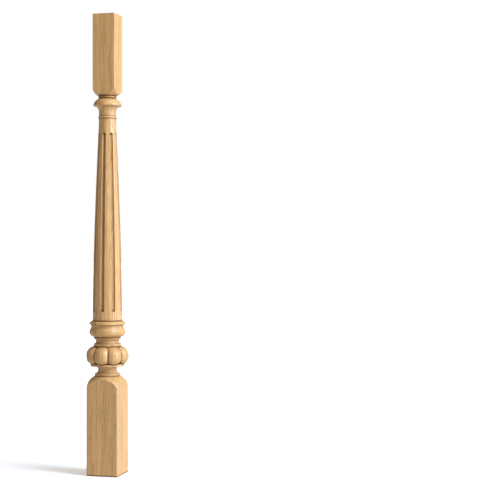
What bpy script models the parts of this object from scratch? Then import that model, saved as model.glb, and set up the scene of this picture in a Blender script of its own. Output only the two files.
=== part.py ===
"""Wooden baluster: square foot and head blocks, a carved bulb and a fluted tapering shaft.

The work is turned and carved from one piece of timber, so it is one solid. It stands on the middle of
its foot block's underside, with its turning axis along +Z and the blocks' faces square to X and Y.
All sizes are in metres, and heights are listed from the floor up, one moulding on top of the other.
"""
import math

import bpy

# Foot block
FOOT_SIDE = 0.0700
FOOT_LENGTH = 0.2146
FOOT_SHOULDER = 0.0229
FOOT_SHELF = 0.0004

# Ring and neck between the foot block and the bulb
FOOT_RING_RADIUS = 0.0273
FOOT_RING_HEIGHT = 0.0055
LOWER_NECK_RADIUS = 0.0203
LOWER_NECK_SWEEP = 0.0074
LOWER_NECK_FLARE = 0.0085
LOWER_NECK_TOP_RADIUS = 0.0279

# Disc and carved bulb
DISC_RADIUS = 0.0369
DISC_HEIGHT = 0.0052
BULB_HEIGHT = 0.0383
BULB_BELLY_HEIGHT = 0.0181
BULB_CORE_RADIUS = 0.0275
LOBE_COUNT = 8
LOBE_RADIUS = 0.0181
LOBE_OFFSET = 0.0298
LOBE_LEAN = 0.0058
LOBE_FULLNESS = 2.4
LOBE_GAP = 0.0004

# Two rings with a waist between them
BULB_RING_RADIUS = 0.0299
BULB_RING_HEIGHT = 0.0050
WAIST_RADIUS = 0.0249
WAIST_SWEEP = 0.0050
WAIST_FLARE = 0.0053
WAIST_EDGE_RADIUS = 0.0281
WAIST_RING_RADIUS = 0.0292
WAIST_RING_HEIGHT = 0.0049

# Cushion, cove and collar under the shaft
CUSHION_RADIUS = 0.0388
CUSHION_EDGE_RADIUS = 0.0291
CUSHION_LOWER_HEIGHT = 0.0096
CUSHION_UPPER_HEIGHT = 0.0114
CUSHION_LEAN = 1.53
COVE_RADIUS = 0.0349
COVE_FLARE = 0.0060
COVE_EDGE_RADIUS = 0.0374
COLLAR_RADIUS = 0.0393
COLLAR_EDGE = 0.0007
COLLAR_HEIGHT = 0.0067
GROOVE_DEPTH = 0.0007
GROOVE_HEIGHT = 0.0010

# Fluted shaft
SHAFT_LENGTH = 0.4400
SHAFT_RADIUS = 0.0321
SHAFT_TOP_RADIUS = 0.0186
SHAFT_TOP_BAND = 0.0120
SHAFT_SWELL = 1.57
FLUTE_COUNT = 8
FLUTE_RADIUS = 0.00475
FLUTE_TOP_RADIUS = 0.0041
FLUTE_PROUD = 0.0009
FLUTE_FOOT_BAND = 0.0198
FLUTE_TOP_BAND = 0.0315

# Bead, neck and cap above the shaft
TOP_BEAD_RADIUS = 0.0203
TOP_BEAD_HEIGHT = 0.0047
TOP_NECK_RADIUS = 0.0184
TOP_NECK_HEIGHT = 0.0082
TOP_NECK_FLARE = 0.0138
TOP_NECK_EDGE_RADIUS = 0.0288
CAP_RADIUS = 0.0307
CAP_EDGE = 0.0009
CAP_HEIGHT = 0.0157
CAP_TOP_RADIUS = 0.0163
CAP_BEAD_RADIUS = 0.0199
CAP_BEAD_HEIGHT = 0.0060
CAP_CREASE_RADIUS = 0.0170

# Head block
HEAD_SIDE = 0.0500
HEAD_LENGTH = 0.1766
HEAD_SHOULDER = 0.0140
HEAD_SHELF = 0.0027

# Making
EASE = 0.0005
OVERLAP = 0.0060
SINK = 0.0005
LEAN = 1.75
TURNING_STEPS = 32
LOBE_STEPS = 16
FLUTE_STEPS = 12
MERGE = 0.00001

OAK_COLOUR = (0.62, 0.41, 0.21, 1.0)
OAK_ROUGHNESS = 0.45


def clear_scene():
    """Remove every object, so that the part is alone in the file."""
    for item in list(bpy.data.objects):
        bpy.data.objects.remove(item, do_unlink=True)


def add_collection(name):
    """Make a collection in the scene."""
    collection = bpy.data.collections.new(name)
    bpy.context.scene.collection.children.link(collection)
    return collection


def oak():
    """Pale oak under a clear satin varnish."""
    material = bpy.data.materials.new("oak")
    material.use_nodes = True
    shader = material.node_tree.nodes["Principled BSDF"]
    shader.inputs["Base Color"].default_value = OAK_COLOUR
    shader.inputs["Roughness"].default_value = OAK_ROUGHNESS
    shader.inputs["Metallic"].default_value = 0.0
    return material


def sweep(start, end, upright_first, steps, power=2.0):
    """Quarter of an oval from one (radius, height) point to another, without the first point.

    It leaves its start upright and arrives level, or the other way round. A power over 2 is fuller
    than an ellipse and one under 2 is leaner.
    """
    points = []
    for step in range(1, steps + 1):
        turn = math.pi / 2 * step / steps
        slow = 1 - max(math.cos(turn), 0.0) ** (2 / power)
        fast = math.sin(turn) ** (2 / power)
        across, up = (slow, fast) if upright_first else (fast, slow)
        points.append((start[0] + (end[0] - start[0]) * across, start[1] + (end[1] - start[1]) * up))
    return points


def ogee(start, end, steps, lean):
    """Double curve from one (radius, height) point up to another, upright at both, without the first.

    A lean over 1 keeps it full below and draws it in late.
    """
    points = []
    for step in range(1, steps + 1):
        up = step / steps
        across = (1 - math.cos(math.pi * up ** lean)) / 2
        points.append((start[0] + (end[0] - start[0]) * across, start[1] + (end[1] - start[1]) * up))
    return points


def ring(radius, bottom, height):
    """Outline of a flat ring with eased edges."""
    top = bottom + height
    return [(radius - EASE, bottom), (radius, bottom + EASE), (radius, top - EASE), (radius - EASE, top)]


def bead(radius, root, bottom, height):
    """Outline of a half-round bead that stands out from a root radius."""
    middle = bottom + height / 2
    lower = sweep((root, bottom), (radius, middle), False, 3)
    upper = sweep((radius, middle), (root, bottom + height), True, 3)
    return [(root, bottom)] + lower + upper


def shaft_radius(height_on_shaft):
    """Radius of the shaft, which swells gently as it narrows."""
    share = min(height_on_shaft / (SHAFT_LENGTH - SHAFT_TOP_BAND), 1.0)
    return SHAFT_RADIUS - (SHAFT_RADIUS - SHAFT_TOP_RADIUS) * share ** SHAFT_SWELL


def stack_heights():
    """Height of the underside of each part of the stack, from the floor up."""
    lengths = [
        ("foot", FOOT_LENGTH),
        ("foot_ring", FOOT_RING_HEIGHT),
        ("lower_neck", LOWER_NECK_SWEEP + LOWER_NECK_FLARE),
        ("disc", DISC_HEIGHT),
        ("bulb", BULB_HEIGHT),
        ("bulb_ring", BULB_RING_HEIGHT),
        ("waist", WAIST_SWEEP + WAIST_FLARE),
        ("waist_ring", WAIST_RING_HEIGHT),
        ("cushion", CUSHION_LOWER_HEIGHT + CUSHION_UPPER_HEIGHT),
        ("cove", COVE_FLARE),
        ("collar", COLLAR_EDGE + COLLAR_HEIGHT),
        ("shaft", SHAFT_LENGTH),
        ("top_bead", TOP_BEAD_HEIGHT),
        ("top_neck", TOP_NECK_HEIGHT + TOP_NECK_FLARE),
        ("cap", CAP_EDGE + CAP_HEIGHT),
        ("cap_bead", CAP_BEAD_HEIGHT),
        ("head", HEAD_LENGTH),
    ]
    heights = {}
    level = 0.0
    for name, length in lengths:
        heights[name] = level
        level += length
    heights["top"] = level
    return heights


def lower_outline(at):
    """Outline of the mouldings from the foot block to the foot of the shaft."""
    points = [(0.0, at["foot_ring"] - OVERLAP), (FOOT_RING_RADIUS, at["foot_ring"] - OVERLAP)]
    points += ring(FOOT_RING_RADIUS, at["foot_ring"], FOOT_RING_HEIGHT)[2:]
    narrow = (LOWER_NECK_RADIUS, at["lower_neck"] + LOWER_NECK_SWEEP)
    points += sweep(points[-1], narrow, False, 4)
    points += sweep(narrow, (LOWER_NECK_TOP_RADIUS, at["disc"]), True, 4)
    points += ring(DISC_RADIUS, at["disc"], DISC_HEIGHT)
    points += [(BULB_CORE_RADIUS, at["bulb"]), (BULB_CORE_RADIUS, at["bulb_ring"])]
    points += ring(BULB_RING_RADIUS, at["bulb_ring"], BULB_RING_HEIGHT)[:3]
    points += [(WAIST_EDGE_RADIUS, at["waist"])]
    narrow = (WAIST_RADIUS, at["waist"] + WAIST_SWEEP)
    points += sweep(points[-1], narrow, False, 3)
    points += sweep(narrow, (WAIST_EDGE_RADIUS, at["waist_ring"]), True, 3)
    points += ring(WAIST_RING_RADIUS, at["waist_ring"], WAIST_RING_HEIGHT)
    widest = (CUSHION_RADIUS, at["cushion"] + CUSHION_LOWER_HEIGHT)
    points += sweep((CUSHION_EDGE_RADIUS, at["cushion"]), widest, False, 5)
    narrow = (COVE_RADIUS, at["cove"])
    points += ogee(widest, narrow, 6, CUSHION_LEAN)
    points += sweep(narrow, (COVE_EDGE_RADIUS, at["collar"]), True, 3)
    widest = (COLLAR_RADIUS, at["collar"] + COLLAR_EDGE)
    groove = (SHAFT_RADIUS - GROOVE_DEPTH, at["shaft"])
    points += [widest] + sweep(widest, groove, True, 5, LEAN)
    points += [(SHAFT_RADIUS, at["shaft"] + GROOVE_HEIGHT)]
    return points


def upper_outline(at):
    """Outline from above the foot of the shaft to the head block."""
    bands = 7
    points = []
    for band in range(1, bands + 1):
        rise = (SHAFT_LENGTH - SHAFT_TOP_BAND) * band / bands
        points.append((shaft_radius(rise), at["shaft"] + rise))
    points += bead(TOP_BEAD_RADIUS, TOP_NECK_RADIUS, at["top_bead"], TOP_BEAD_HEIGHT)
    narrow = (TOP_NECK_RADIUS, at["top_neck"] + TOP_NECK_HEIGHT)
    points += [narrow] + sweep(narrow, (TOP_NECK_EDGE_RADIUS, at["cap"]), True, 4)
    widest = (CAP_RADIUS, at["cap"] + CAP_EDGE)
    points += [widest] + sweep(widest, (CAP_TOP_RADIUS, at["cap_bead"]), True, 5, LEAN)
    points += bead(CAP_BEAD_RADIUS, CAP_CREASE_RADIUS, at["cap_bead"], CAP_BEAD_HEIGHT)
    points += [(CAP_CREASE_RADIUS, at["head"] + OVERLAP), (0.0, at["head"] + OVERLAP)]
    return points


def shoulder_outline(corner, shelf, shoulder, depth):
    """Outline of the domed turning that rounds a block's end, from its middle out and down.

    The dome is part of a ball on the turning axis. It starts at the shelf's edge and leaves the block
    through its corners, a shoulder's height away. Heights are below the block's end, as if it faced up.
    """
    drop = (corner ** 2 - shelf ** 2 + shoulder ** 2) / (2 * shoulder)
    ball = math.hypot(shelf, drop)
    start = math.atan2(drop, shelf)
    end = math.atan2(drop - shoulder, corner)
    steps = 6
    points = [(0.0, 0.0)]
    for step in range(steps + 1):
        turn = start + (end - start) * step / steps
        points.append((ball * math.cos(turn), ball * math.sin(turn) - drop))
    points += [(corner + OVERLAP, -shoulder), (corner + OVERLAP, -depth - OVERLAP), (0.0, -depth - OVERLAP)]
    return points


def turned(name, points, steps, collection):
    """Turn an outline about Z: its points run down the outer side, from the top to the bottom."""
    mesh = bpy.data.meshes.new(name)
    edges = [(index, index + 1) for index in range(len(points) - 1)]
    mesh.from_pydata([(radius, 0.0, height) for radius, height in points], edges, [])
    item = bpy.data.objects.new(name, mesh)
    collection.objects.link(item)
    screw = item.modifiers.new("Turning", "SCREW")
    screw.axis = "Z"
    screw.steps = steps
    screw.render_steps = steps
    screw.use_merge_vertices = True
    screw.merge_threshold = MERGE
    return item


def make_tool(item):
    """Keep an object out of the part: it only shapes the baluster."""
    item.hide_render = True
    item.display_type = "WIRE"


def block(name, side, length, shelf, shoulder, facing_up, place, tools):
    """Square block with one end turned to a dome, standing on the floor or hanging from a height."""
    bpy.ops.mesh.primitive_cube_add(size=1.0, location=(0.0, 0.0, place + length / 2))
    item = bpy.context.object
    item.name = name
    item.scale = (side, side, length)
    for owner in list(item.users_collection):
        owner.objects.unlink(item)
    tools.objects.link(item)
    corner = side / math.sqrt(2)
    dome = turned(name + " dome", shoulder_outline(corner, shelf, shoulder, length), TURNING_STEPS, tools)
    if facing_up:
        dome.location.z = place + length
    else:
        dome.location.z = place
        dome.rotation_euler.x = math.pi
    cut = item.modifiers.new("Rounded end", "BOOLEAN")
    cut.operation = "INTERSECT"
    cut.object = dome
    make_tool(dome)
    make_tool(item)
    return item


def move_out(item, reach):
    """Turn an object's modifiers into mesh, and move each point out along X by what its height asks."""
    graph = bpy.context.evaluated_depsgraph_get()
    solid = bpy.data.meshes.new_from_object(item.evaluated_get(graph))
    for corner in solid.vertices:
        corner.co.x += reach(corner.co.z)
    item.modifiers.clear()
    item.data = solid


def lobes(at, collection):
    """Carved lobes of the bulb: upright eggs, side by side round the core, that lean in at their tops."""
    bottom = (0.0, at["bulb"] - SINK)
    widest = (LOBE_RADIUS, at["bulb"] + BULB_BELLY_HEIGHT)
    top = (0.0, at["bulb_ring"] - LOBE_GAP)
    rising = [bottom] + sweep(bottom, widest, False, 5, LOBE_FULLNESS)
    rising += sweep(widest, top, True, 5, LOBE_FULLNESS)

    def reach(height):
        up = max((height - widest[1]) / (top[1] - widest[1]), 0.0)
        return LOBE_OFFSET - LOBE_LEAN * up ** 2

    for index in range(LOBE_COUNT):
        lobe = turned(f"lobe {index + 1}", list(reversed(rising)), LOBE_STEPS, collection)
        move_out(lobe, reach)
        lobe.rotation_euler.z = 2 * math.pi * index / LOBE_COUNT
        make_tool(lobe)


def flutes(at, collection):
    """Round-nosed cutters that follow the shaft's swelling, one for each flute."""
    low = at["shaft"] + FLUTE_FOOT_BAND
    high = at["shaft"] + SHAFT_LENGTH - FLUTE_TOP_BAND
    first = (FLUTE_RADIUS, low + FLUTE_RADIUS)
    last = (FLUTE_TOP_RADIUS, high - FLUTE_TOP_RADIUS)
    rising = [(0.0, low)] + sweep((0.0, low), first, False, 3)
    bands = 6
    for band in range(1, bands + 1):
        share = band / bands
        rising.append((first[0] + (last[0] - first[0]) * share, first[1] + (last[1] - first[1]) * share))
    rising += sweep(last, (0.0, high), True, 3)

    def reach(height):
        return shaft_radius(height - at["shaft"]) + FLUTE_PROUD

    for index in range(FLUTE_COUNT):
        cutter = turned(f"flute {index + 1}", list(reversed(rising)), FLUTE_STEPS, collection)
        move_out(cutter, reach)
        cutter.rotation_euler.z = 2 * math.pi * index / FLUTE_COUNT
        make_tool(cutter)


def join(item, name, operation, tool):
    """Add a Boolean with another object, or with all the objects of a collection."""
    change = item.modifiers.new(name, "BOOLEAN")
    change.operation = operation
    change.solver = "EXACT"
    if isinstance(tool, bpy.types.Collection):
        change.operand_type = "COLLECTION"
        change.collection = tool
    else:
        change.object = tool


def main():
    clear_scene()
    part = add_collection("Wooden baluster")
    tools = add_collection("Blocks and domes")
    lobe_tools = add_collection("Lobes")
    flute_tools = add_collection("Flutes")
    at = stack_heights()

    outline = lower_outline(at) + upper_outline(at)
    baluster = turned("baluster", list(reversed(outline)), TURNING_STEPS, part)
    baluster.data.materials.append(oak())

    foot_shelf = FOOT_RING_RADIUS + FOOT_SHELF
    foot = block("foot block", FOOT_SIDE, FOOT_LENGTH, foot_shelf, FOOT_SHOULDER, True, at["foot"], tools)
    head_shelf = CAP_CREASE_RADIUS + HEAD_SHELF
    head = block("head block", HEAD_SIDE, HEAD_LENGTH, head_shelf, HEAD_SHOULDER, False, at["head"], tools)
    lobes(at, lobe_tools)
    flutes(at, flute_tools)

    join(baluster, "Flutes", "DIFFERENCE", flute_tools)
    join(baluster, "Lobes", "UNION", lobe_tools)
    join(baluster, "Foot block", "UNION", foot)
    join(baluster, "Head block", "UNION", head)


main()
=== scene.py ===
import math

import bpy
from bpy.props import FloatProperty, FloatVectorProperty, IntProperty, PointerProperty
from bpy.types import Operator, Panel, PropertyGroup
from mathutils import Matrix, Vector


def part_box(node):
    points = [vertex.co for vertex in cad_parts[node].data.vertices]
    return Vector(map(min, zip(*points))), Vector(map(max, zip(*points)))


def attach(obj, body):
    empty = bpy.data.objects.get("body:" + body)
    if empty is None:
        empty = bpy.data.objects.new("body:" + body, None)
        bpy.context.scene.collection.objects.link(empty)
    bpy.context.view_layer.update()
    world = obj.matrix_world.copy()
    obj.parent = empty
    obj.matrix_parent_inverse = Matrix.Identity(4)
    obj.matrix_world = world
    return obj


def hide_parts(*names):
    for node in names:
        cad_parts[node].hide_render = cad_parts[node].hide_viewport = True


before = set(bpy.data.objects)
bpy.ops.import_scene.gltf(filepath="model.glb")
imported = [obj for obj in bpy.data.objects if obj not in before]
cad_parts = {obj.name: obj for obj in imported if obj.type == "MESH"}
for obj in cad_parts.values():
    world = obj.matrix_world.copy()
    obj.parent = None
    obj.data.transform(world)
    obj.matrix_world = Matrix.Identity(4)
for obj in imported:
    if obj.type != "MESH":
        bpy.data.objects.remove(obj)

bl_info = {
    "name": "Oak Baluster",
    "version": (1, 0, 0),
    "blender": (4, 5, 0),
    "location": "View3D > Sidebar > Baluster",
    "description": "Turns, carves and finishes a stair baluster of pale oak, and sets it on a studio floor",
    "category": "Add Mesh",
}

SOLID_LOW, SOLID_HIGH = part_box("baluster")
PIECE = "oak_baluster"
TINY = 0.000001

# Side of the square picture in pixels, and width of the camera's sensor in millimetres
IMAGE_SIDE = 490
SENSOR_WIDTH = 36


def length(name, default, description):
    """Size in metres."""
    return FloatProperty(name=name, description=description, default=default, precision=5, unit="LENGTH")


def number(name, default, description):
    """Plain number, such as a power or a share."""
    return FloatProperty(name=name, description=description, default=default, precision=3)


def count(name, default, description):
    """Whole number of like features, or of steps."""
    return IntProperty(name=name, description=description, default=default, min=1)


def angle(name, degrees, description):
    """Angle, given in degrees and kept in radians."""
    return FloatProperty(name=name, description=description, default=math.radians(degrees), subtype="ANGLE")


def colour(name, default, description):
    """Linear colour."""
    return FloatVectorProperty(
        name=name, description=description, default=default, size=3, subtype="COLOR", min=0, max=2)


# Sizes

class FootSizes(PropertyGroup):
    """Foot block, and the ring and neck that rise from it."""
    side: length("Side", 0.0700, "Width of the square foot block")
    height: length("Height", 0.2146, "Height of the foot block with its domed end")
    shoulder: length("Shoulder", 0.0229, "Fall of the domed end from its shelf to the block's corners")
    shelf: length("Shelf", 0.0004, "Width of the flat between the ring and the dome")
    ring_radius: length("Ring Radius", 0.0273, "Radius of the ring on the foot block")
    ring_height: length("Ring Height", 0.0055, "Height of the ring on the foot block")
    neck_radius: length("Neck Radius", 0.0203, "Radius of the neck at its narrowest")
    neck_sweep: length("Neck Sweep", 0.0074, "Height of the neck's lower curve")
    neck_flare: length("Neck Flare", 0.0085, "Height of the neck's upper curve")
    neck_top_radius: length("Neck Top Radius", 0.0279, "Radius of the neck under the disc")


class BulbSizes(PropertyGroup):
    """Disc, and the carved bulb that sits on it."""
    disc_radius: length("Disc Radius", 0.0369, "Radius of the disc under the lobes")
    disc_height: length("Disc Height", 0.0052, "Thickness of the disc")
    height: length("Height", 0.0383, "Height of the lobes, with the gap over them")
    belly_height: length("Belly Height", 0.0181, "Height on a lobe where it is widest")
    core_radius: length("Core Radius", 0.0275, "Radius of the core behind the lobes")
    lobe_count: count("Lobes", 8, "Number of lobes round the bulb")
    lobe_radius: length("Lobe Radius", 0.0181, "Half the width of a lobe")
    lobe_offset: length("Lobe Offset", 0.0298, "Distance of a lobe's middle from the turning axis")
    lobe_lean: length("Lobe Lean", 0.0058, "How far a lobe's top leans in")
    lower_fullness: number("Lower Fullness", 2.6, "Power of a lobe's lower curve: 2 is an ellipse")
    upper_fullness: number("Upper Fullness", 2.4, "Power of a lobe's upper curve: 2 is an ellipse")
    gap: length("Gap", 0.0004, "Gap between the lobes and the ring over them")
    sink: length("Sink", 0.0005, "How deep the lobes stand in the disc")


class WaistSizes(PropertyGroup):
    """Two rings with a waist between them."""
    lower_ring_radius: length("Lower Ring Radius", 0.0299, "Radius of the ring on the lobes")
    lower_ring_height: length("Lower Ring Height", 0.0050, "Height of the ring on the lobes")
    radius: length("Radius", 0.0249, "Radius of the waist at its narrowest")
    sweep: length("Sweep", 0.0050, "Height of the waist's lower curve")
    flare: length("Flare", 0.0053, "Height of the waist's upper curve")
    edge_radius: length("Edge Radius", 0.0281, "Radius of the waist where it meets the rings")
    upper_ring_radius: length("Upper Ring Radius", 0.0292, "Radius of the ring under the cushion")
    upper_ring_height: length("Upper Ring Height", 0.0049, "Height of the ring under the cushion")


class CushionSizes(PropertyGroup):
    """Cushion, the cove over it and the collar at the foot of the shaft."""
    radius: length("Radius", 0.0388, "Radius of the cushion at its widest")
    edge_radius: length("Edge Radius", 0.0291, "Radius of the cushion at its underside")
    lower_height: length("Lower Height", 0.0096, "Height of the cushion up to its widest")
    upper_height: length("Upper Height", 0.0114, "Height of the cushion over its widest")
    lean: number("Lean", 1.53, "Over 1 keeps the cushion full below and draws it in late")
    cove_radius: length("Cove Radius", 0.0349, "Radius of the cove at its narrowest")
    cove_flare: length("Cove Flare", 0.0060, "Height of the cove up to the collar")
    cove_edge_radius: length("Cove Edge Radius", 0.0374, "Radius of the cove under the collar")
    collar_radius: length("Collar Radius", 0.0393, "Radius of the collar at its widest")
    collar_edge: length("Collar Edge", 0.0007, "Height of the collar's slanting lower edge")
    collar_height: length("Collar Height", 0.0067, "Height of the collar's round")
    collar_lean: number("Collar Lean", 1.75, "Power of the collar's round: 2 is an ellipse")
    groove_depth: length("Groove Depth", 0.0007, "Depth of the groove at the foot of the shaft")
    groove_height: length("Groove Height", 0.0010, "Height of the groove at the foot of the shaft")


class ShaftSizes(PropertyGroup):
    """Tapering shaft and its flutes."""
    height: length("Height", 0.4400, "Height of the shaft")
    radius: length("Radius", 0.0321, "Radius of the shaft at its foot")
    top_radius: length("Top Radius", 0.0186, "Radius of the shaft at its top")
    top_band: length("Top Band", 0.0120, "Height of the straight band at the top")
    swell: number("Swell", 1.57, "Power of the taper: 1 is straight, more swells the shaft")
    flute_count: count("Flutes", 8, "Number of flutes round the shaft")
    flute_radius: length("Flute Radius", 0.00475, "Radius of a flute at its foot")
    flute_top_radius: length("Flute Top Radius", 0.0041, "Radius of a flute at its top")
    flute_proud: length("Flute Proud", 0.0009, "How far the cutter's middle stays outside the shaft")
    flute_foot_band: length("Flute Foot Band", 0.0198, "Plain band under the flutes")
    flute_top_band: length("Flute Top Band", 0.0315, "Plain band over the flutes")


class CapSizes(PropertyGroup):
    """Bead, neck, cap and upper bead over the shaft."""
    bead_radius: length("Bead Radius", 0.0203, "Radius of the bead on the shaft")
    bead_height: length("Bead Height", 0.0047, "Height of the bead on the shaft")
    neck_radius: length("Neck Radius", 0.0184, "Radius of the neck under the cap")
    neck_height: length("Neck Height", 0.0082, "Height of the neck's straight part")
    neck_flare: length("Neck Flare", 0.0138, "Height of the neck's curve out to the cap")
    neck_edge_radius: length("Neck Edge Radius", 0.0288, "Radius of the neck under the cap's edge")
    radius: length("Radius", 0.0307, "Radius of the cap at its widest")
    edge: length("Edge", 0.0009, "Height of the cap's slanting lower edge")
    height: length("Height", 0.0157, "Height of the cap's round")
    lean: number("Lean", 1.75, "Power of the cap's round: 2 is an ellipse")
    top_radius: length("Top Radius", 0.0163, "Radius of the cap at its top")
    upper_bead_radius: length("Upper Bead Radius", 0.0199, "Radius of the bead on the cap")
    upper_bead_height: length("Upper Bead Height", 0.0060, "Height of the bead on the cap")
    crease_radius: length("Crease Radius", 0.0170, "Radius of the creases over and under that bead")


class HeadSizes(PropertyGroup):
    """Head block."""
    side: length("Side", 0.0500, "Width of the square head block")
    shoulder: length("Shoulder", 0.0140, "Rise of the domed end from its shelf to the block's corners")
    shelf: length("Shelf", 0.0027, "Width of the flat between the crease and the dome")


class MakingSizes(PropertyGroup):
    """Eased edges, and the steps that the curves are made in."""
    ease: length("Ease", 0.0005, "Rounding of the rings' edges")
    arris: length("Arris", 0.0007, "Rounding of the blocks' edges")
    overlap: length("Overlap", 0.0060, "How deep the mouldings reach into the blocks")
    turning_steps: count("Turning Steps", 160, "Steps in a full turn of the baluster")
    lobe_steps: count("Lobe Steps", 56, "Steps in a full turn of a lobe")
    flute_steps: count("Flute Steps", 32, "Steps in a full turn of a flute's cutter")
    ease_steps: count("Ease Steps", 4, "Steps in the rounding of a ring's edge")
    arris_steps: count("Arris Steps", 3, "Steps in the rounding of a block's edge")
    bead_steps: count("Bead Steps", 8, "Steps in each half of a bead")
    dome_steps: count("Dome Steps", 20, "Steps in the dome of a block")
    neck_steps: count("Neck Steps", 12, "Steps in each curve of the neck under the disc")
    lobe_half_steps: count("Lobe Half Steps", 20, "Steps in each half of a lobe's height")
    waist_steps: count("Waist Steps", 10, "Steps in each curve of the waist")
    cushion_steps: count("Cushion Steps", 16, "Steps in the cushion's lower curve")
    cushion_top_steps: count("Cushion Top Steps", 18, "Steps in the cushion's upper curve")
    cove_steps: count("Cove Steps", 10, "Steps in the cove under the collar")
    collar_steps: count("Collar Steps", 14, "Steps in the collar's round")
    shaft_bands: count("Shaft Bands", 44, "Bands in the height of the shaft")
    flute_bands: count("Flute Bands", 40, "Bands in the height of a flute's cutter")
    flute_end_steps: count("Flute End Steps", 8, "Steps in each round end of a flute's cutter")
    cap_neck_steps: count("Cap Neck Steps", 14, "Steps in the neck's curve out to the cap")
    cap_steps: count("Cap Steps", 16, "Steps in the cap's round")
    tip_fineness: count("Tip Fineness", 40, "How many times narrower a lobe or a cutter is at its tips")
    crease_angle: angle("Crease Angle", 34.0, "Turn between two faces over which their edge stays crisp")


# Outlines

def sweep(start, end, upright_first, steps, power=2.0):
    """Quarter of an oval from one (radius, height) point to another, without the first point.

    It leaves its start upright and arrives level, or the other way round. A power over 2 is fuller
    than an ellipse and one under 2 is leaner.
    """
    points = []
    for step in range(1, steps + 1):
        turn = math.pi / 2 * step / steps
        slow = 1 - max(math.cos(turn), 0.0) ** (2 / power)
        fast = math.sin(turn) ** (2 / power)
        across, up = (slow, fast) if upright_first else (fast, slow)
        points.append((start[0] + (end[0] - start[0]) * across, start[1] + (end[1] - start[1]) * up))
    return points


def ogee(start, end, steps, lean):
    """Double curve from one (radius, height) point up to another, upright at both, without the first."""
    points = []
    for step in range(1, steps + 1):
        up = step / steps
        across = (1 - math.cos(math.pi * up ** lean)) / 2
        points.append((start[0] + (end[0] - start[0]) * across, start[1] + (end[1] - start[1]) * up))
    return points


def ring_top(radius, top, making):
    """Rounded upper edge of a flat ring."""
    start = (radius, top - making.ease)
    return [start] + sweep(start, (radius - making.ease, top), True, making.ease_steps)


def ring(radius, bottom, height, making):
    """Flat ring whose two edges are rounded."""
    start = (radius - making.ease, bottom)
    lower = sweep(start, (radius, bottom + making.ease), False, making.ease_steps)
    return [start] + lower + ring_top(radius, bottom + height, making)


def bead(radius, root, bottom, height, steps):
    """Half-round bead that stands out from a root radius, with the steps in each of its halves."""
    middle = bottom + height / 2
    lower = sweep((root, bottom), (radius, middle), False, steps)
    upper = sweep((radius, middle), (root, bottom + height), True, steps)
    return [(root, bottom)] + lower + upper


def shaft_radius(shaft, rise):
    """Radius of the shaft at a rise over its foot: it swells gently as it narrows."""
    share = min(max(rise, 0.0) / (shaft.height - shaft.top_band), 1.0)
    return shaft.radius - (shaft.radius - shaft.top_radius) * share ** shaft.swell


def stack_heights(sizes):
    """Height of the underside of each part of the stack, from the floor up."""
    foot, bulb, waist, cushion, shaft, cap = (
        sizes.foot, sizes.bulb, sizes.waist, sizes.cushion, sizes.shaft, sizes.cap)
    lengths = [
        ("foot", foot.height),
        ("foot_ring", foot.ring_height),
        ("lower_neck", foot.neck_sweep + foot.neck_flare),
        ("disc", bulb.disc_height),
        ("bulb", bulb.height),
        ("bulb_ring", waist.lower_ring_height),
        ("waist", waist.sweep + waist.flare),
        ("waist_ring", waist.upper_ring_height),
        ("cushion", cushion.lower_height + cushion.upper_height),
        ("cove", cushion.cove_flare),
        ("collar", cushion.collar_edge + cushion.collar_height),
        ("shaft", shaft.height),
        ("top_bead", cap.bead_height),
        ("top_neck", cap.neck_height + cap.neck_flare),
        ("cap", cap.edge + cap.height),
        ("cap_bead", cap.upper_bead_height),
    ]
    heights = {}
    level = SOLID_LOW.z
    for name, rise in lengths:
        heights[name] = level
        level += rise
    heights["head"] = level
    heights["top"] = SOLID_HIGH.z
    return heights


def lower_outline(sizes, at):
    """Outline of the mouldings from inside the foot block to the foot of the shaft."""
    foot, bulb, waist, cushion, making = sizes.foot, sizes.bulb, sizes.waist, sizes.cushion, sizes.making
    sunk = at["foot_ring"] - making.overlap
    points = [(0.0, sunk), (foot.ring_radius, sunk), (foot.ring_radius, at["foot_ring"])]
    points += ring_top(foot.ring_radius, at["foot_ring"] + foot.ring_height, making)
    narrow = (foot.neck_radius, at["lower_neck"] + foot.neck_sweep)
    points += sweep(points[-1], narrow, False, making.neck_steps)
    points += sweep(narrow, (foot.neck_top_radius, at["disc"]), True, making.neck_steps)
    points += ring(bulb.disc_radius, at["disc"], bulb.disc_height, making)
    points += [(bulb.core_radius, at["bulb"]), (bulb.core_radius, at["bulb_ring"])]
    points += ring(waist.lower_ring_radius, at["bulb_ring"], waist.lower_ring_height, making)
    points += [(waist.edge_radius, at["waist"])]
    narrow = (waist.radius, at["waist"] + waist.sweep)
    points += sweep(points[-1], narrow, False, making.waist_steps)
    points += sweep(narrow, (waist.edge_radius, at["waist_ring"]), True, making.waist_steps)
    points += ring(waist.upper_ring_radius, at["waist_ring"], waist.upper_ring_height, making)
    widest = (cushion.radius, at["cushion"] + cushion.lower_height)
    points += [(cushion.edge_radius - making.ease, at["cushion"])]
    points += sweep(points[-1], widest, False, making.cushion_steps)
    narrow = (cushion.cove_radius, at["cove"])
    points += ogee(widest, narrow, making.cushion_top_steps, cushion.lean)
    points += sweep(narrow, (cushion.cove_edge_radius, at["collar"]), True, making.cove_steps)
    widest = (cushion.collar_radius, at["collar"] + cushion.collar_edge)
    groove = (sizes.shaft.radius - cushion.groove_depth, at["shaft"])
    points += [widest] + sweep(widest, groove, True, making.collar_steps, cushion.collar_lean)
    points += [(sizes.shaft.radius, at["shaft"] + cushion.groove_height)]
    return points


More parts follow.
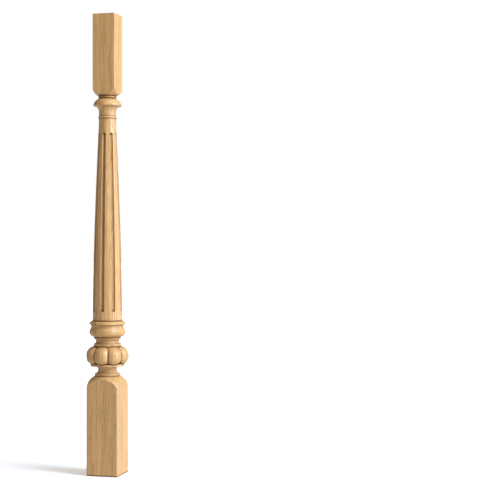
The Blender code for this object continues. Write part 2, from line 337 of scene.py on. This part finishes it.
def upper_outline(sizes, at):
    """Outline from over the foot of the shaft to inside the head block."""
    shaft, cap, making = sizes.shaft, sizes.cap, sizes.making
    points = []
    for band in range(1, making.shaft_bands + 1):
        rise = (shaft.height - shaft.top_band) * band / making.shaft_bands
        points.append((shaft_radius(shaft, rise), at["shaft"] + rise))
    points += bead(cap.bead_radius, cap.neck_radius, at["top_bead"], cap.bead_height, making.bead_steps)
    narrow = (cap.neck_radius, at["top_neck"] + cap.neck_height)
    points += [narrow] + sweep(narrow, (cap.neck_edge_radius, at["cap"]), True, making.cap_neck_steps)
    widest = (cap.radius, at["cap"] + cap.edge)
    points += [widest] + sweep(widest, (cap.top_radius, at["cap_bead"]), True, making.cap_steps, cap.lean)
    points += bead(
        cap.upper_bead_radius, cap.crease_radius, at["cap_bead"], cap.upper_bead_height, making.bead_steps)
    sunk = at["head"] + making.overlap
    points += [(cap.crease_radius, sunk), (0.0, sunk)]
    return points


def dome_outline(corner, shelf, shoulder, depth, making):
    """Outline of the domed turning that rounds a block's end, from its middle out and down.

    The dome is part of a ball on the turning axis. It starts at the shelf's edge and leaves the block
    through its corners, a shoulder's height away. Heights are below the block's end, as if it faced up.
    """
    drop = (corner ** 2 - shelf ** 2 + shoulder ** 2) / (2 * shoulder)
    ball = math.hypot(shelf, drop)
    start = math.atan2(drop, shelf)
    end = math.atan2(drop - shoulder, corner)
    points = [(0.0, 0.0)]
    for step in range(making.dome_steps + 1):
        turn = start + (end - start) * step / making.dome_steps
        points.append((ball * math.cos(turn), ball * math.sin(turn) - drop))
    outside = corner + making.overlap
    bottom = -depth - making.overlap
    points += [(outside, -shoulder), (outside, bottom), (0.0, bottom)]
    return points


# Bench work

def deselect():
    """Leave nothing selected, so that the next operator acts on the new object alone."""
    bpy.ops.object.select_all(action="DESELECT")


def pick(item):
    """Select one object and make it the active one."""
    deselect()
    item.select_set(True)
    bpy.context.view_layer.objects.active = item


def edit(item):
    """Open one object in edit mode with all of its mesh selected."""
    pick(item)
    bpy.ops.object.mode_set(mode="EDIT")
    bpy.ops.mesh.select_all(action="SELECT")


def close_up(item):
    """Merge doubles, turn the faces outwards and leave edit mode."""
    bpy.ops.mesh.select_all(action="SELECT")
    bpy.ops.mesh.remove_doubles(threshold=TINY)
    bpy.ops.mesh.normals_make_consistent(inside=False)
    bpy.ops.object.mode_set(mode="OBJECT")
    item.data.update()


def turn_on_lathe(name, outline, steps):
    """Turn an outline of (radius, height) points about the Z axis.

    The outline is drawn point by point from a plane merged to one vertex, then spun a full turn.
    """
    deselect()
    bpy.ops.mesh.primitive_plane_add(size=1, location=(0, 0, 0))
    item = bpy.context.object
    item.name = name
    edit(item)
    bpy.ops.mesh.merge(type="CENTER")
    bpy.ops.transform.translate(value=(outline[0][0], 0, outline[0][1]))
    for (radius, height), (next_radius, next_height) in zip(outline, outline[1:]):
        step = (next_radius - radius, 0, next_height - height)
        bpy.ops.mesh.extrude_region_move(TRANSFORM_OT_translate={"value": step})
    bpy.ops.mesh.select_all(action="SELECT")
    bpy.ops.mesh.spin(steps=steps, angle=math.tau, center=(0, 0, 0), axis=(0, 0, 1))
    close_up(item)
    return item


def draw_up(name, rings, steps):
    """Draw a round shape up from its foot: rings of (reach along X, radius, height), closed at both ends."""
    deselect()
    reach, radius, height = rings[0]
    bpy.ops.mesh.primitive_circle_add(
        vertices=steps, radius=radius, fill_type="TRIFAN", location=(reach, 0, height))
    item = bpy.context.object
    item.name = name
    bpy.ops.object.transform_apply(location=True, rotation=True, scale=True)
    edit(item)
    for before, after in zip(rings, rings[1:]):
        step = (after[0] - before[0], 0, after[2] - before[2])
        bpy.ops.mesh.extrude_region_move(TRANSFORM_OT_translate={"value": step})
        share = after[1] / before[1]
        middle = (after[0], 0, after[2])
        bpy.ops.transform.resize(value=(share, share, 1), center_override=middle)
    close_up(item)
    return item


def set_round(first, number_of):
    """Set copies of an object evenly round the turning axis and join them into one object."""
    copies = [first]
    for _ in range(1, number_of):
        pick(first)
        bpy.ops.object.duplicate(linked=False)
        copies.append(bpy.context.object)
    for index, item in enumerate(copies):
        item.rotation_euler.z = math.tau * index / number_of
    pick(first)
    for item in copies:
        item.select_set(True)
    bpy.ops.object.transform_apply(location=True, rotation=True, scale=True)
    bpy.ops.object.join()
    edit(first)
    close_up(first)
    return first


def trim_to_wedge(item, half_angle):
    """Keep what lies within an angle of the X axis on both sides, and leave the two cuts open."""
    for side in (1, -1):
        edit(item)
        outwards = (-math.sin(half_angle), side * math.cos(half_angle), 0)
        bpy.ops.mesh.bisect(plane_co=(0, 0, 0), plane_no=outwards, clear_outer=True, threshold=TINY)
        bpy.ops.object.mode_set(mode="OBJECT")


def combine(item, operation, tool):
    """Cut, join or trim an object by another one, which is then thrown away."""
    pick(item)
    bpy.ops.object.modifier_add(type="BOOLEAN")
    change = item.modifiers[-1]
    change.operation = operation
    change.solver = "EXACT"
    change.object = tool
    bpy.ops.object.modifier_apply(modifier=change.name)
    bpy.data.objects.remove(tool, do_unlink=True)


def settings():
    """Sizes, colours and stage as the panel shows them."""
    return bpy.context.scene.baluster


def baluster():
    """The piece in the making, or an error where the body hasn't been turned yet."""
    item = bpy.data.objects.get(PIECE)
    if item is None:
        raise RuntimeError("Turn the body first")
    return item


def square_block(name, side, bottom, top, making):
    """Square block with its upright and end edges eased."""
    deselect()
    middle = (bottom + top) / 2
    bpy.ops.mesh.primitive_cube_add(size=1, location=(0, 0, middle), scale=(side, side, top - bottom))
    item = bpy.context.object
    item.name = name
    bpy.ops.object.transform_apply(location=True, rotation=True, scale=True)
    edit(item)
    bpy.ops.mesh.bevel(offset=making.arris, segments=making.arris_steps, profile=0.5, affect="EDGES")
    close_up(item)
    return item


def domed_block(name, side, bottom, top, shelf, shoulder, facing_up, making):
    """Square block with one end turned to a dome."""
    item = square_block(name, side, bottom, top, making)
    corner = side / math.sqrt(2)
    outline = dome_outline(corner, shelf, shoulder, top - bottom, making)
    if facing_up:
        outline = [(radius, top + height) for radius, height in outline]
    else:
        outline = [(radius, bottom - height) for radius, height in outline]
    dome = turn_on_lathe(name + " dome", outline, making.turning_steps)
    combine(item, "INTERSECT", dome)
    return item


class BALUSTER_OT_turn_body(Operator):
    """Turn the mouldings, the bulb's core and the plain shaft from one outline"""
    bl_idname = "baluster.turn_body"
    bl_label = "Turn the Body"

    def execute(self, context):
        sizes = settings()
        at = stack_heights(sizes)
        outline = lower_outline(sizes, at) + upper_outline(sizes, at)
        turn_on_lathe(PIECE, outline, sizes.making.turning_steps)
        return {"FINISHED"}


class BALUSTER_OT_cut_flutes(Operator):
    """Cut the round-ended flutes into the shaft with cutters that follow its swelling"""
    bl_idname = "baluster.cut_flutes"
    bl_label = "Cut the Flutes"

    def execute(self, context):
        sizes = settings()
        shaft, making = sizes.shaft, sizes.making
        at = stack_heights(sizes)
        low = at["shaft"] + shaft.flute_foot_band
        high = at["shaft"] + shaft.height - shaft.flute_top_band
        tip = shaft.flute_radius / making.tip_fineness
        first = (shaft.flute_radius, low + shaft.flute_radius)
        last = (shaft.flute_top_radius, high - shaft.flute_top_radius)
        rising = [(tip, low)] + sweep((tip, low), first, False, making.flute_end_steps)
        for band in range(1, making.flute_bands + 1):
            share = band / making.flute_bands
            rising.append((first[0] + (last[0] - first[0]) * share, first[1] + (last[1] - first[1]) * share))
        rising += sweep(last, (tip, high), True, making.flute_end_steps)
        rings = [(shaft_radius(shaft, height - at["shaft"]) + shaft.flute_proud, radius, height)
                 for radius, height in rising]
        cutter = draw_up("flute_cutter", rings, making.flute_steps)
        combine(baluster(), "DIFFERENCE", set_round(cutter, shaft.flute_count))
        return {"FINISHED"}


class BALUSTER_OT_carve_bulb(Operator):
    """Set the carved lobes round the bulb's core: upright eggs that lean in at their tops"""
    bl_idname = "baluster.carve_bulb"
    bl_label = "Carve the Bulb"

    def execute(self, context):
        sizes = settings()
        bulb, making = sizes.bulb, sizes.making
        at = stack_heights(sizes)
        tip = bulb.lobe_radius / making.tip_fineness
        bottom = (tip, at["bulb"] - bulb.sink)
        widest = (bulb.lobe_radius, at["bulb"] + bulb.belly_height)
        top = (tip, at["bulb_ring"] - bulb.gap)
        rising = [bottom] + sweep(bottom, widest, False, making.lobe_half_steps, bulb.lower_fullness)
        rising += sweep(widest, top, True, making.lobe_half_steps, bulb.upper_fullness)
        rings = []
        for radius, height in rising:
            up = max((height - widest[1]) / (top[1] - widest[1]), 0.0)
            rings.append((bulb.lobe_offset - bulb.lobe_lean * up ** 2, radius, height))
        lobe = draw_up("lobe", rings, making.lobe_steps)
        trim_to_wedge(lobe, math.pi / bulb.lobe_count)
        combine(baluster(), "UNION", set_round(lobe, bulb.lobe_count))
        return {"FINISHED"}


class BALUSTER_OT_square_blocks(Operator):
    """Join the square foot and head blocks, each with its inner end turned to a dome"""
    bl_idname = "baluster.square_blocks"
    bl_label = "Square the Blocks"

    def execute(self, context):
        sizes = settings()
        at = stack_heights(sizes)
        foot, head, making = sizes.foot, sizes.head, sizes.making
        foot_shelf = foot.ring_radius + foot.shelf
        head_shelf = sizes.cap.crease_radius + head.shelf
        combine(baluster(), "UNION", domed_block(
            "foot_block", foot.side, at["foot"], at["foot_ring"], foot_shelf, foot.shoulder, True, making))
        combine(baluster(), "UNION", domed_block(
            "head_block", head.side, at["head"], at["top"], head_shelf, head.shoulder, False, making))
        return {"FINISHED"}


class BALUSTER_OT_smooth(Operator):
    """Clean the mesh up and shade it smooth, with crisp creases and flat faces left as they are"""
    bl_idname = "baluster.smooth"
    bl_label = "Smooth the Surface"

    def execute(self, context):
        item = baluster()
        edit(item)
        bpy.ops.mesh.remove_doubles(threshold=TINY)
        bpy.ops.mesh.dissolve_degenerate(threshold=TINY)
        bpy.ops.object.mode_set(mode="OBJECT")
        bpy.ops.object.shade_smooth_by_angle(angle=settings().making.crease_angle)
        bpy.ops.object.modifier_add(type="WEIGHTED_NORMAL")
        item.modifiers[-1].keep_sharp = True
        bpy.ops.object.modifier_apply(modifier=item.modifiers[-1].name)
        item.data.name = PIECE
        return {"FINISHED"}


# Finishes

class OakFinish(PropertyGroup):
    """Colours and figure of the varnished oak, and the shade painted into its flutes, between its lobes and
    in its creases.
    """
    light: colour("Light", (0.72, 0.420, 0.168), "Pale wood between the growth lines")
    dark: colour("Dark", (0.42, 0.215, 0.068), "Darker bands of the wood")
    line: colour("Line", (0.14, 0.050, 0.008), "Growth lines and pores")
    # Painted shade: the colour that the flutes and the gaps between the lobes are darkened towards, where
    # other surfaces stand near
    painted_hollow_shade: colour("Hollow", (0.125, 0.040, 0.0005), "Shaded wood in the flutes and between the lobes")
    # Painted shade, not the wood's colour: the near black that the deepest creases are darkened towards
    crease: colour("Crease", (0.020, 0.006, 0.001), "Wood deep down in the creases")
    painted_shade_reach: length("Hollow Reach", 0.0045, "How near a surface must be to another to be in a crease")
    painted_shade_rays: count("Hollow Rays", 16, "Rays that feel for other surfaces from each point")
    ring_width: length("Ring Width", 0.0019, "Width of a growth ring")
    ring_corners: number("Ring Corners", 2.4, "2 for round rings, more for rings that turn in corners")
    pith_distance: length("Pith Distance", 0.050, "Distance of the tree's middle from the turning axis")
    pith_side: angle("Pith Side", -45.0, "Direction of the tree's middle, from +X towards +Y")
    grain_tilt: angle("Grain Tilt", 0.4, "Slope of the grain against the turning axis")
    sway: length("Sway", 0.0045, "How far the grain sways over a hand's length")
    ripple: length("Ripple", 0.0006, "How far the grain ripples over a finger's width")
    wander: number("Wander", 1.2, "How far the growth rings wander, in rings")
    faint_year: number("Faint Year", 0.15, "Strength of the faintest year's growth line")
    minor_rate: number("Minor Rate", 2.7, "Minor lines in each growth ring")
    late_pores: number("Late Pores", 0.2, "Strength of the pores outside the early wood")
    broad_share: number("Broad Share", 0.16, "Share of the broad bands in the wood's colour")
    streak_share: number("Streak Share", 0.40, "Share of the streaks in the wood's colour")
    fibre_share: number("Fibre Share", 0.44, "Share of the fine fibre in the wood's colour")
    line_strength: number("Line Strength", 1.15, "Darkness of the growth lines")
    minor_strength: number("Minor Strength", 0.40, "Darkness of the minor lines")
    pore_strength: number("Pore Strength", 0.75, "Darkness of the pores")
    darkest_mark: number("Darkest Mark", 0.88, "Most that lines and pores together darken the wood")
    relief_strength: number("Relief Strength", 0.35, "Strength of the grain's relief")
    relief_depth: length("Relief Depth", 0.00012, "Depth of the grain's relief")
    fibre_rise: number("Fibre Rise", 0.4, "Rise of the fibres, against pores 1 deep")
    line_fall: number("Line Fall", 0.7, "Fall of the growth lines, against pores 1 deep")
    roughness: number("Roughness", 0.52, "Roughness of the wood under the varnish")
    mark_roughness: number("Mark Roughness", 0.12, "How much rougher the lines and pores are")
    sheen: number("Sheen", 0.25, "Strength of the wood's own gloss")
    varnish: number("Varnish", 0.30, "Strength of the clear varnish")
    varnish_roughness: number("Varnish Roughness", 0.20, "Roughness of the varnish")


# Width across the log and length along it of each figure's grains, in metres
GRAINS = {
    "sway": (0.035, 0.180),
    "ripple": (0.006, 0.018),
    "wander": (0.020, 0.300),
    "line breaks": (0.0015, 0.020),
    "minor breaks": (0.0020, 0.030),
    "pores": (0.00035, 0.0065),
    "fibre": (0.0007, 0.030),
    "streaks": (0.0030, 0.090),
    "broad bands": (0.012, 0.180),
}

# Curves of the finish as (place, height) stops, with straight lines between them
CURVES = {
    "line": [(0.0, 1.0), (0.10, 0.8), (0.22, 0.25), (0.45, 0.05), (0.85, 0.0), (0.95, 0.5), (1.0, 1.0)],
    "early wood": [(0.0, 1.0), (0.30, 0.7), (0.55, 0.2), (0.85, 0.1), (1.0, 1.0)],
    "line breaks": [(0.34, 0.3), (0.58, 1.0)],
    "minor line": [(0.0, 1.0), (0.15, 0.3), (0.5, 0.0), (0.85, 0.0), (1.0, 1.0)],
    "minor breaks": [(0.40, 0.0), (0.65, 1.0)],
    "pores": [(0.58, 0.0), (0.72, 1.0)],
    "fibre": [(0.3, 0.0), (0.7, 1.0)],
    "streaks": [(0.35, 0.0), (0.65, 1.0)],
    "broad bands": [(0.36, 0.0), (0.66, 1.0)],
    # Painted shade: how far the wood is darkened in the flutes and between the lobes, against how open its
    # surface is
    "painted_hollow_shade": [(0.12, 1.0), (0.38, 0.50), (0.60, 0.55), (0.72, 0.85), (0.82, 0.82), (0.90, 0.52),
               (0.95, 0.10), (0.98, 0.0)],
    # Painted shade: how far the deepest creases are darkened, against how open the surface is
    "crease": [(0.12, 1.0), (0.38, 0.0)],
}


class Field:
    """A socket of a finish, on which Python's own operators work."""

    def __init__(self, recipe, socket):
        self.recipe = recipe
        self.socket = socket

    def math(self, operation, first, second):
        """Math of two values, of which at least one is a socket."""
        return self.recipe.node("ShaderNodeMath", {"operation": operation}, {0: first, 1: second})

    def __add__(self, other):
        return self.math("ADD", self, other)

    def __radd__(self, other):
        return self.math("ADD", other, self)

    def __sub__(self, other):
        return self.math("SUBTRACT", self, other)

    def __rsub__(self, other):
        return self.math("SUBTRACT", other, self)

    def __mul__(self, other):
        return self.math("MULTIPLY", self, other)

    def __rmul__(self, other):
        return self.math("MULTIPLY", other, self)

    def __truediv__(self, other):
        return self.math("DIVIDE", self, other)

    def __pow__(self, other):
        return self.math("POWER", self, other)


class Recipe:
    """Nodes of one finish, added one after another."""

    def __init__(self, owner):
        owner.use_nodes = True
        self.tree = owner.node_tree
        self.tree.nodes.clear()

    def node(self, kind, choices, inputs, output=0):
        """Add a node, make its choices, then fill its sockets with values or links. Gives one output."""
        node = self.tree.nodes.new(kind)
        for name, value in choices.items():
            if name == "stops":
                ramp = node.color_ramp
                while len(ramp.elements) < len(value):
                    ramp.elements.new(0.5)
                for element, (place, shade) in zip(ramp.elements, value):
                    element.position = place
                    element.color = (shade, shade, shade, 1)
            else:
                setattr(node, name, value)
        for name, value in inputs.items():
            if isinstance(value, Field):
                self.tree.links.new(value.socket, node.inputs[name])
            else:
                node.inputs[name].default_value = value
        return Field(self, node.outputs[output]) if node.outputs else None

    def vector(self, operation, first, second):
        """Vector sum, product and the like."""
        return self.node("ShaderNodeVectorMath", {"operation": operation}, {0: first, 1: second})

    def plain(self, operation, value):
        """Math of one value, such as its whole part."""
        return self.node("ShaderNodeMath", {"operation": operation}, {0: value})

    def open_sky(self, reach, rays):
        """1 where a surface lies free, less where others stand within reach."""
        return self.node("ShaderNodeAmbientOcclusion", {"samples": rays}, {"Distance": reach}, output="AO")

    def spread(self, shade, amount):
        """Sideways shift of up to an amount to each side, from the colours of a noise."""
        centred = self.vector("SUBTRACT", shade, (0.5, 0.5, 0.5))
        return self.vector("MULTIPLY", centred, (2 * amount, 2 * amount, 0))

    def noise(self, place, grain, detail=2.0, roughness=0.5, output=0):
        """Noise whose grains have about the width and length that the table of grains gives them."""
        width, along = GRAINS[grain]
        scaled = self.vector("MULTIPLY", place, (1 / width, 1 / width, 1 / along))
        inputs = {"Vector": scaled, "Scale": 1.0, "Detail": detail, "Roughness": roughness}
        return self.node("ShaderNodeTexNoise", {}, inputs, output)

    def curve(self, value, name):
        """Height of a named curve at a value."""
        return self.node("ShaderNodeValToRGB", {"stops": CURVES[name]}, {"Fac": value})

    def step(self, value, low, high):
        """Smooth step from 0 at low to 1 at high."""
        inputs = {"Value": value, "From Min": low, "From Max": high}
        return self.node("ShaderNodeMapRange", {"interpolation_type": "SMOOTHSTEP"}, inputs)

    def mix(self, share, first, second):
        """Blend of two colours."""
        return self.node("ShaderNodeMix", {"data_type": "RGBA"}, {0: share, 6: first, 7: second}, output=2)


def rgba(value):
    """Colour of the panel as a node takes it."""
    return (*value, 1.0)


def oak_finish(oak):
    """Pale oak, cut from one log, under a clear satin varnish, with shade painted into its flutes, between
    its lobes and in its creases.
    """
    material = bpy.data.materials.new("oak")
    recipe = Recipe(material)
    place = recipe.node("ShaderNodeTexCoord", {}, {}, output="Object")

    sway = recipe.noise(place, "sway", output="Color")
    ripple = recipe.noise(place, "ripple", output="Color")
    bent = recipe.vector("ADD", place, recipe.spread(sway, oak.sway))
    bent = recipe.vector("ADD", bent, recipe.spread(ripple, oak.ripple))

    pith = Vector((math.cos(oak.pith_side), math.sin(oak.pith_side), 0)) * oak.pith_distance
    log = recipe.node("ShaderNodeMapping", {}, {
        "Vector": bent,
        "Location": tuple(-pith),
        "Rotation": (oak.grain_tilt, oak.grain_tilt, 0),
    })
    across = recipe.plain("ABSOLUTE", recipe.node("ShaderNodeSeparateXYZ", {}, {"Vector": log}, output="X"))
    along = recipe.plain("ABSOLUTE", recipe.node("ShaderNodeSeparateXYZ", {}, {"Vector": log}, output="Y"))
    reach = (across ** oak.ring_corners + along ** oak.ring_corners) ** (1 / oak.ring_corners)
    turns = reach / oak.ring_width + oak.wander * recipe.noise(bent, "wander", detail=1.0)
    phase = recipe.plain("FRACT", turns)
    whole = recipe.plain("FLOOR", turns)
    year = recipe.node("ShaderNodeTexWhiteNoise", {"noise_dimensions": "1D"}, {"W": whole})
    early = recipe.curve(phase, "early wood")
    line = recipe.curve(phase, "line") * (oak.faint_year + (1 - oak.faint_year) * year * year)
    line = line * recipe.curve(recipe.noise(bent, "line breaks"), "line breaks")
    minor = recipe.curve(recipe.plain("FRACT", oak.minor_rate * turns), "minor line")
    minor = minor * recipe.curve(recipe.noise(bent, "minor breaks"), "minor breaks")

    pores = recipe.curve(recipe.noise(bent, "pores", detail=1.0), "pores")
    pores = pores * (oak.late_pores + (1 - oak.late_pores) * early)
    fibre = recipe.curve(recipe.noise(bent, "fibre", detail=3.0, roughness=0.65), "fibre")
    streaks = recipe.curve(recipe.noise(bent, "streaks"), "streaks")
    broad = recipe.curve(recipe.noise(bent, "broad bands", roughness=0.55), "broad bands")

    figure = oak.broad_share * broad + oak.streak_share * streaks + oak.fibre_share * fibre
    body = recipe.mix(figure, rgba(oak.light), rgba(oak.dark))
    marks = oak.line_strength * line + oak.minor_strength * minor + oak.pore_strength * pores
    marks = recipe.node("ShaderNodeMath", {"operation": "MINIMUM"}, {0: marks, 1: oak.darkest_mark})
    wood_and_painted_shade = recipe.mix(marks, body, rgba(oak.line))

    # Painted shade: where other surfaces stand near, the wood is darkened as shade would darken it, in the
    # flutes, between the lobes and deep in the creases
    sky = recipe.open_sky(oak.painted_shade_reach, oak.painted_shade_rays)
    painted_hollow_shade = recipe.curve(sky, "painted_hollow_shade")
    wood_and_painted_shade = recipe.mix(painted_hollow_shade, wood_and_painted_shade, rgba(oak.painted_hollow_shade))
    # Painted shade in the deepest creases, over the painted shade in the hollows
    wood_and_painted_shade = recipe.mix(recipe.curve(sky, "crease"), wood_and_painted_shade, rgba(oak.crease))

    bump = recipe.node("ShaderNodeBump", {}, {
        "Strength": oak.relief_strength,
        "Distance": oak.relief_depth,
        "Height": oak.fibre_rise * fibre - oak.line_fall * line - pores,
    })
    shader = recipe.node("ShaderNodeBsdfPrincipled", {}, {
        "Base Color": wood_and_painted_shade,
        "Roughness": oak.roughness + oak.mark_roughness * marks,
        "Specular IOR Level": oak.sheen,
        # Less varnish where the shade is painted, so that the painted shade stays dull
        "Coat Weight": oak.varnish * (1 - painted_hollow_shade),
        "Coat Roughness": oak.varnish_roughness,
        "Normal": bump,
    })
    recipe.node("ShaderNodeOutputMaterial", {}, {"Surface": shader})
    return material


class BALUSTER_OT_finish_in_oak(Operator):
    """Give the baluster its varnished oak and let it stand for the plain solid"""
    bl_idname = "baluster.finish_in_oak"
    bl_label = "Finish in Oak"

    def execute(self, context):
        item = baluster()
        sizes = settings()
        item.data.materials.clear()
        item.data.materials.append(oak_finish(sizes.oak))
        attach(item, "root")
        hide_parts("baluster")
        return {"FINISHED"}


# Stage

class StageSettings(PropertyGroup):
    """Floor, lights and camera."""
    floor_side: length("Floor Side", 60.0, "Width of the floor")
    floor_colour: colour("Floor Colour", (0.80, 0.80, 0.80), "Pale floor")
    floor_glow: number("Floor Glow", 0.40, "How far the floor is overexposed in the picture")
    room: number("Room", 0.365, "Brightness of the white room as it lights the baluster")
    room_lean: number("Room Lean", 0.25, "How much brighter the room is on the lamp's side, as a share")
    room_colour: colour("Room Colour", (1.0, 0.89, 0.75), "Light that the room throws on the baluster")
    lamp_colour: colour("Lamp Colour", (0.86, 1.03, 1.28), "Light of both lamps")
    lamp: number("Lamp", 9.8, "Brightness of the tall soft lamp")
    lamp_side: angle("Lamp Side", 78.0, "Direction of the lamp from -Y towards +X")
    lamp_width: angle("Lamp Width", 34.0, "Width of the lamp, as the baluster sees it")
    lamp_bottom: angle("Lamp Bottom", 0.0, "Height of the lamp's lower edge over the horizon")
    lamp_top: angle("Lamp Top", 62.0, "Height of the lamp's upper edge over the horizon")
    lamp_edge: angle("Lamp Edge", 8.0, "Width of the lamp's soft edges")
    near_lamp: number("Near Lamp", 5.0, "Power of the small lamp beside the baluster's head, in watts")
    near_lamp_away: length("Near Lamp Away", 1.1, "Distance of the small lamp from the turning axis")
    near_lamp_height: length("Near Lamp Height", 1.25, "Height of the small lamp over the floor")
    near_lamp_size: length("Near Lamp Size", 0.5, "Width of the small lamp")
    camera_distance: length("Camera Distance", 2.624, "Distance of the camera from the turning axis")
    camera_height: length("Camera Height", 0.499, "Height of the camera over the floor")
    camera_side: angle("Camera Side", 21.0, "Direction of the camera from -Y towards +X")
    camera_turn: angle("Camera Turn", 6.56, "How far the camera looks past the baluster to the right")
    focal_pixels: number("Focal Length", 1196.0, "Focal length in pixels of the square picture")


def lay_floor(stage):
    """Wide pale floor, overexposed to white in the picture but not in the light that it throws back."""
    deselect()
    bpy.ops.mesh.primitive_plane_add(size=stage.floor_side, location=(0, 0, SOLID_LOW.z))
    floor = bpy.context.object
    floor.name = "floor"
    bpy.ops.object.transform_apply(location=True, rotation=True, scale=True)
    material = bpy.data.materials.new("pale floor")
    recipe = Recipe(material)
    in_picture = recipe.node("ShaderNodeLightPath", {}, {}, output="Is Camera Ray")
    shader = recipe.node("ShaderNodeBsdfPrincipled", {}, {
        "Base Color": rgba(stage.floor_colour),
        "Roughness": 1.0,
        "Specular IOR Level": 0.0,
        "Emission Color": stage.floor_glow * in_picture,
        "Emission Strength": 1.0,
    })
    recipe.node("ShaderNodeOutputMaterial", {}, {"Surface": shader})
    floor.data.materials.append(material)


def light_room(stage):
    """White room with one tall soft lamp in it, to the right of the camera."""
    world = bpy.data.worlds.new("white_room")
    bpy.context.scene.world = world
    recipe = Recipe(world)
    direction = recipe.node("ShaderNodeTexCoord", {}, {}, output="Generated")
    rise = recipe.node("ShaderNodeSeparateXYZ", {}, {"Vector": direction}, output="Z")
    towards = (math.sin(stage.lamp_side), -math.cos(stage.lamp_side), 0)
    level = recipe.vector("NORMALIZE", recipe.vector("MULTIPLY", direction, (1, 1, 0)), (0, 0, 0))
    facing = recipe.node(
        "ShaderNodeVectorMath", {"operation": "DOT_PRODUCT"}, {0: level, 1: towards}, output="Value")
    soft = stage.lamp_edge / 2
    half = stage.lamp_width / 2
    across = recipe.step(facing, math.cos(half + soft), math.cos(half - soft))
    over = recipe.step(rise, math.sin(stage.lamp_bottom - soft), math.sin(stage.lamp_bottom + soft))
    under = recipe.step(rise, math.sin(stage.lamp_top + soft), math.sin(stage.lamp_top - soft))
    in_picture = recipe.node("ShaderNodeLightPath", {}, {}, output="Is Camera Ray")
    lamp = stage.lamp * across * over * under
    shade = recipe.mix(lamp / (lamp + stage.room), rgba(stage.room_colour), rgba(stage.lamp_colour))
    shade = recipe.mix(in_picture, shade, (1, 1, 1, 1))
    room = stage.room * (1 + stage.room_lean * facing)
    light = room * (1 - in_picture) + in_picture + lamp
    background = recipe.node("ShaderNodeBackground", {}, {"Color": shade, "Strength": light})
    recipe.node("ShaderNodeOutputWorld", {}, {"Surface": background})


def hang_lamp(stage):
    """Small soft lamp beside the baluster's head, on the side of the tall one."""
    sideways = (math.sin(stage.lamp_side), -math.cos(stage.lamp_side))
    place = Vector((*sideways, 0)) * stage.near_lamp_away
    place.z = SOLID_LOW.z + stage.near_lamp_height
    head = Vector((0, 0, SOLID_HIGH.z))
    turn = (head - place).to_track_quat("-Z", "Y").to_euler()
    bpy.ops.object.light_add(type="AREA", location=place, rotation=turn)
    lamp = bpy.context.object.data
    lamp.shape = "DISK"
    lamp.size = stage.near_lamp_size
    lamp.energy = stage.near_lamp
    lamp.color = stage.lamp_colour


def place_camera(stage):
    """Level camera at the photograph's place, looking past the baluster to the right."""
    side = stage.camera_side
    place = (
        math.sin(side) * stage.camera_distance,
        -math.cos(side) * stage.camera_distance,
        SOLID_LOW.z + stage.camera_height,
    )
    bpy.ops.object.camera_add(location=place, rotation=(math.pi / 2, 0, side - stage.camera_turn))
    camera = bpy.context.object
    camera.data.sensor_width = SENSOR_WIDTH
    camera.data.lens = stage.focal_pixels / IMAGE_SIDE * SENSOR_WIDTH
    camera.data.clip_end = 2 * stage.floor_side
    bpy.context.scene.camera = camera


class BALUSTER_OT_set_stage(Operator):
    """Lay the floor, light it softly from the right and set the camera where the photograph was taken"""
    bl_idname = "baluster.set_stage"
    bl_label = "Set the Stage"

    def execute(self, context):
        stage = settings().stage
        context.scene.view_settings.view_transform = "Standard"
        lay_floor(stage)
        light_room(stage)
        hang_lamp(stage)
        place_camera(stage)
        return {"FINISHED"}


class BalusterSettings(PropertyGroup):
    """All that the panel shows."""
    foot: PointerProperty(type=FootSizes)
    bulb: PointerProperty(type=BulbSizes)
    waist: PointerProperty(type=WaistSizes)
    cushion: PointerProperty(type=CushionSizes)
    shaft: PointerProperty(type=ShaftSizes)
    cap: PointerProperty(type=CapSizes)
    head: PointerProperty(type=HeadSizes)
    making: PointerProperty(type=MakingSizes)
    oak: PointerProperty(type=OakFinish)
    stage: PointerProperty(type=StageSettings)


GROUPS = (FootSizes, BulbSizes, WaistSizes, CushionSizes, ShaftSizes, CapSizes, HeadSizes, MakingSizes,
          OakFinish, StageSettings, BalusterSettings)
STEPS = (BALUSTER_OT_turn_body, BALUSTER_OT_cut_flutes, BALUSTER_OT_carve_bulb, BALUSTER_OT_square_blocks,
         BALUSTER_OT_smooth, BALUSTER_OT_finish_in_oak, BALUSTER_OT_set_stage)


class BALUSTER_PT_bench(Panel):
    """Steps of the work and all of its settings"""
    bl_label = "Oak Baluster"
    bl_idname = "BALUSTER_PT_bench"
    bl_space_type = "VIEW_3D"
    bl_region_type = "UI"
    bl_category = "Baluster"

    def draw(self, context):
        for step in STEPS:
            self.layout.operator(step.bl_idname)
        for name in BalusterSettings.__annotations__:
            box = self.layout.box()
            box.label(text=name.title())
            group = getattr(settings(), name)
            for value in group.__annotations__:
                box.prop(group, value)


def register():
    """Make the settings, the steps and the panel known, and hang the settings on the scene."""
    for item in (*GROUPS, *STEPS, BALUSTER_PT_bench):
        bpy.utils.register_class(item)
    bpy.types.Scene.baluster = PointerProperty(type=BalusterSettings)


def unregister():
    """Take away all that register made known."""
    del bpy.types.Scene.baluster
    for item in reversed((*GROUPS, *STEPS, BALUSTER_PT_bench)):
        bpy.utils.unregister_class(item)


def main():
    """Make the baluster and its stage step by step."""
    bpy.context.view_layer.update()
    register()
    bpy.ops.baluster.turn_body()
    bpy.ops.baluster.cut_flutes()
    bpy.ops.baluster.carve_bulb()
    bpy.ops.baluster.square_blocks()
    bpy.ops.baluster.smooth()
    bpy.ops.baluster.finish_in_oak()
    bpy.ops.baluster.set_stage()


if __name__ == "__main__":
    main()
